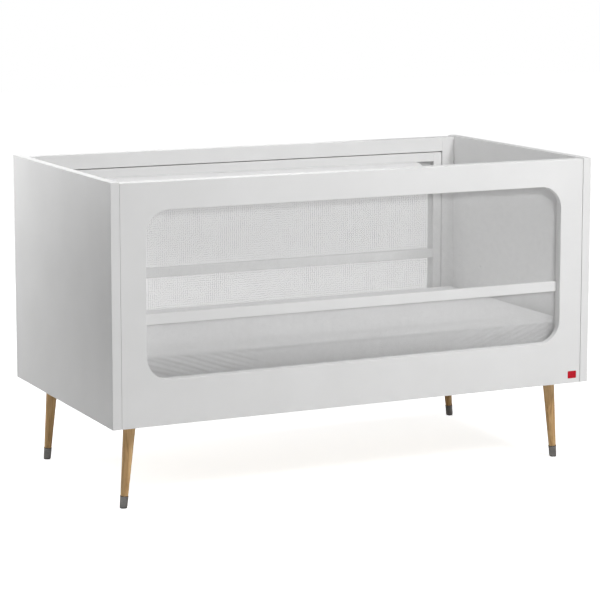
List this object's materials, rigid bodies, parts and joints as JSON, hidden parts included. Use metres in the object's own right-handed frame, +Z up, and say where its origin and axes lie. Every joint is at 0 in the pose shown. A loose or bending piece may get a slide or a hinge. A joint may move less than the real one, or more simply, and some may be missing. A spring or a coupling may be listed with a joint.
{
  "type": "baby crib",
  "caption": "White panelled baby crib with rounded mesh windows and a mid rail in both long sides, a slatted base with mattress, and splayed wooden legs with metal ferrules.",
  "frame": {"origin": "centre of the footprint, on the floor", "axes": "+X along the crib's length, +Y from the front to the back, +Z up"},
  "size_m": [1.454, 0.776, 0.878],
  "materials": {
    "white_lacquer": "satin",
    "natural_oak": "satin",
    "bare_birch": "matte",
    "white_mesh": "matte",
    "mattress_fabric": "matte",
    "red_tag": "satin",
    "dark_nickel": "satin",
    "zinc_steel": "satin",
    "black_plastic": "matte"
  },
  "bodies": {
    "crib_frame": {"end_panel_left": "white_lacquer", "end_panel_right": "white_lacquer", "front_board": "white_lacquer", "back_board": "white_lacquer", "front_border_top_rail": "white_lacquer", "front_border_bottom_rail": "white_lacquer", "front_border_left_stile": "white_lacquer", "front_border_right_stile": "white_lacquer", "back_border_top_rail": "white_lacquer", "back_border_bottom_rail": "white_lacquer", "back_border_left_stile": "white_lacquer", "back_border_right_stile": "white_lacquer", "front_insert_top_rail": "white_lacquer", "front_insert_bottom_rail": "white_lacquer", "front_insert_mid_rail": "white_lacquer", "front_insert_left_stile": "white_lacquer", "front_insert_right_stile": "white_lacquer", "back_insert_top_rail": "white_lacquer", "back_insert_bottom_rail": "white_lacquer", "back_insert_mid_rail": "white_lacquer", "back_insert_left_stile": "white_lacquer", "back_insert_right_stile": "white_lacquer", "front_mesh": "white_mesh", "back_mesh": "white_mesh", "side_tag": "red_tag", "front_insert_screws": "zinc_steel", "back_insert_screws": "zinc_steel", "insert_dowels": "bare_birch", "panel_dowels": "bare_birch", "panel_cam_bolts": "zinc_steel", "panel_cam_locks": "zinc_steel", "leg_front_left": "natural_oak", "leg_front_right": "natural_oak", "leg_back_left": "natural_oak", "leg_back_right": "natural_oak", "ferrule_front_left": "dark_nickel", "ferrule_front_right": "dark_nickel", "ferrule_back_left": "dark_nickel", "ferrule_back_right": "dark_nickel", "foot_glides": "black_plastic", "leg_plates": "zinc_steel", "leg_bolts": "zinc_steel", "leg_plate_screws": "zinc_steel", "leg_block_front_left": "bare_birch", "leg_block_front_right": "bare_birch", "leg_block_back_left": "bare_birch", "leg_block_back_right": "bare_birch", "block_dowels": "bare_birch", "base_support_pins": "zinc_steel"},
    "slatted_base": {"base_side_rail_front": "bare_birch", "base_side_rail_back": "bare_birch", "base_end_rail_left": "bare_birch", "base_end_rail_right": "bare_birch", "base_centre_rail": "bare_birch", "base_slats": "bare_birch", "base_slat_screws": "zinc_steel", "base_dowels": "bare_birch"},
    "mattress": {"mattress": "mattress_fabric"}
  },
  "joints": [
    {"name": "base_height", "type": "slide", "parent": "crib_frame", "child": "slatted_base", "axis": [0, 0, 1], "range_m": [0, 0.24]},
    {"name": "mattress_lift", "type": "slide", "parent": "slatted_base", "child": "mattress", "axis": [0, 0, 1], "range_m": [0, 0.65]}
  ]
}
